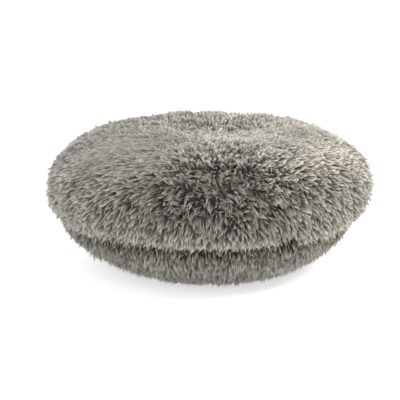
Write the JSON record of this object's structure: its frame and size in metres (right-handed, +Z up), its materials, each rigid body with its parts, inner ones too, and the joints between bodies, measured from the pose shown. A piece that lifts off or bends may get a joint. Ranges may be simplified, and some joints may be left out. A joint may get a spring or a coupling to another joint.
{
  "type": "pet cushion bed",
  "caption": "Round long-pile plush cushion bed with a shallow hollow, a filled inner cushion and a zipped cover.",
  "frame": {"origin": "centre of the flat underside, on the surface that the cushion rests on", "axes": "+Z up through the middle of the hollow, +Y towards the zip, +X to the right of someone facing +Y"},
  "size_m": [0.6, 0.6, 0.26],
  "materials": {
    "plush": "long-pile plush, warm grey",
    "binding": "turned knitted backing, dark grey",
    "thread": "polyester sewing thread",
    "label": "blank woven label",
    "zip_tape": "woven polyester tape",
    "zip_coil": "nylon coil",
    "zip_metal": "painted zinc, pale satin grey",
    "liner": "plain woven cotton",
    "fibre": "loose polyester fibre"
  },
  "bodies": {
    "cushion": {"top_cover_panel": "plush", "base_cover_panel": "plush", "seam_binding": "binding", "seam_thread": "thread", "care_label": "label", "zip_tape_upper": "zip_tape", "zip_tape_lower": "zip_tape", "zip_coil_upper": "zip_coil", "zip_coil_lower": "zip_coil", "zip_stitching_upper": "thread", "zip_stitching_lower": "thread", "zip_stop_closed_end": "zip_metal", "zip_stop_open_end": "zip_metal", "liner_top_panel": "liner", "liner_base_panel": "liner", "liner_seam_tape": "liner", "fibre_filling": "fibre"},
    "zip_slider": {"zip_slider": "zip_metal"},
    "zip_pull": {"zip_pull_tab": "zip_metal"}
  },
  "joints": [
    {"name": "zip_travel", "type": "hinge", "parent": "cushion", "child": "zip_slider", "pos_m": [0, 0, 0.104], "axis": [0, 0, -1], "range_deg": [0, 90.7]},
    {"name": "pull_swing", "type": "hinge", "parent": "zip_slider", "child": "zip_pull", "pos_m": [-0.18315, 0.18086, 0.104], "axis": [0, 0, 1], "range_deg": [0, 180]}
  ]
}
